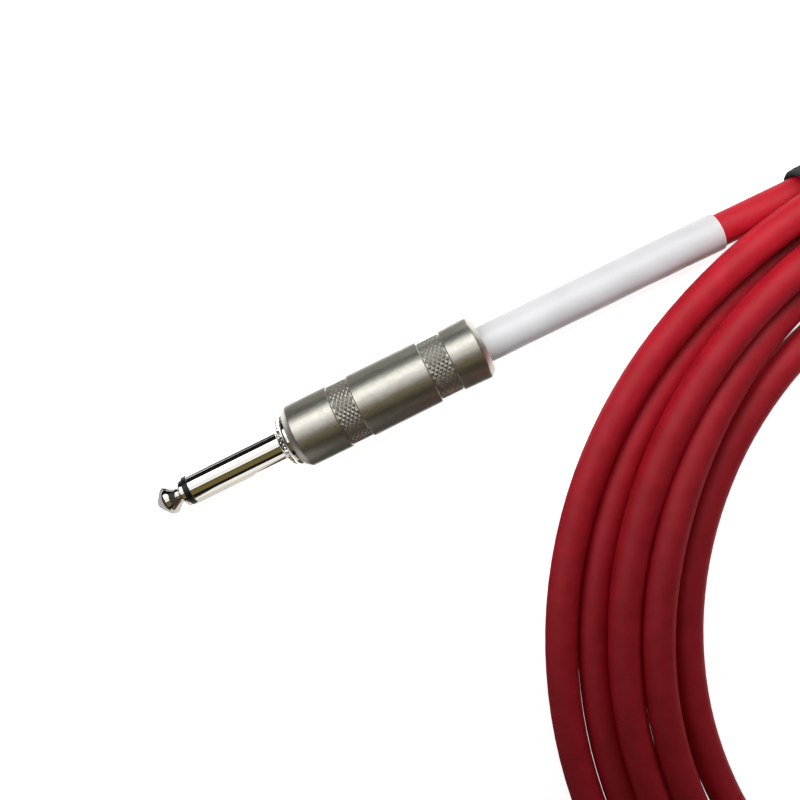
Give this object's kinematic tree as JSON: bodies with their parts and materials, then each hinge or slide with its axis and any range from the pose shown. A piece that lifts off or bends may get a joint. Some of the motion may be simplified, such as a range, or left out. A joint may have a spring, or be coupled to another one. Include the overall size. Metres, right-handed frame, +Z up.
{
  "type": "instrument cable",
  "caption": "Coiled red instrument cable held by a black hook-and-loop strap, with a straight metal phone plug and a white heat-shrink boot on each end.",
  "frame": {"origin": "on the surface the cable lies on, at the bottom centre of the box round the two plugs", "axes": "+Z up; -X the way plug A points; -Y the way plug B points"},
  "size_m": [0.2443, 0.2018, 0.0215],
  "materials": {
    "plated_contact": "polished nickel plating",
    "satin_barrel": "satin nickel plating, fine turned grain",
    "plated_steel": "dull plated strip",
    "brass_lug": "bare brass",
    "solder": "bright solder",
    "copper_strands": "bare stranded copper",
    "black_insulator": "smooth black",
    "clear_insulation": "natural translucent plastic",
    "conductive_plastic": "matte black",
    "red_jacket": "soft matte red jacket",
    "white_heatshrink": "satin white heat-shrink",
    "black_strap": "black hook-and-loop"
  },
  "bodies": {
    "cable_and_plugs": {"tip_contact_a": "plated_contact", "tip_insulator_a": "black_insulator", "rod_insulator_a": "black_insulator", "sleeve_body_a": "plated_contact", "ground_clamp_a": "plated_steel", "insulating_washer_a": "black_insulator", "tip_lug_a": "brass_lug", "tip_solder_a": "solder", "ground_solder_a": "solder", "core_conductor_a": "copper_strands", "core_insulation_a": "clear_insulation", "conductive_layer_a": "conductive_plastic", "cable_shield_a": "copper_strands", "jacket_end_a": "red_jacket", "heatshrink_boot_a": "white_heatshrink", "tip_contact_b": "plated_contact", "tip_insulator_b": "black_insulator", "rod_insulator_b": "black_insulator", "sleeve_body_b": "plated_contact", "ground_clamp_b": "plated_steel", "insulating_washer_b": "black_insulator", "tip_lug_b": "brass_lug", "tip_solder_b": "solder", "ground_solder_b": "solder", "core_conductor_b": "copper_strands", "core_insulation_b": "clear_insulation", "conductive_layer_b": "conductive_plastic", "cable_shield_b": "copper_strands", "jacket_end_b": "red_jacket", "heatshrink_boot_b": "white_heatshrink", "lead_a": "red_jacket", "cable_coil": "red_jacket", "lead_b": "red_jacket", "cable_tie": "black_strap"},
    "liner_slide_a": {"insulating_liner_a": "clear_insulation"},
    "screw_barrel_a": {"barrel_a": "satin_barrel"},
    "liner_slide_b": {"insulating_liner_b": "clear_insulation"},
    "screw_barrel_b": {"barrel_b": "satin_barrel"}
  },
  "joints": [
    {"name": "barrel_a_back_off", "type": "slide", "parent": "cable_and_plugs", "child": "liner_slide_a", "axis": [1, 0, 0], "range_m": [0, 0.006]},
    {"name": "barrel_a_unscrew", "type": "hinge", "parent": "liner_slide_a", "child": "screw_barrel_a", "pos_m": [-0.06075, 0.0875, 0.0066], "axis": [1, 0, 0], "range_deg": [0, 2880]},
    {"name": "barrel_b_back_off", "type": "slide", "parent": "cable_and_plugs", "child": "liner_slide_b", "axis": [0, 1, 0], "range_m": [0, 0.006]},
    {"name": "barrel_b_unscrew", "type": "hinge", "parent": "liner_slide_b", "child": "screw_barrel_b", "pos_m": [0.10565, -0.0426, 0.0149], "axis": [0, 1, 0], "range_deg": [0, 2880]}
  ],
  "couplings": [
    {"joint": "barrel_a_back_off", "follows": "barrel_a_unscrew", "m_per_rad": 0.00011937},
    {"joint": "barrel_b_back_off", "follows": "barrel_b_unscrew", "m_per_rad": 0.00011937}
  ]
}
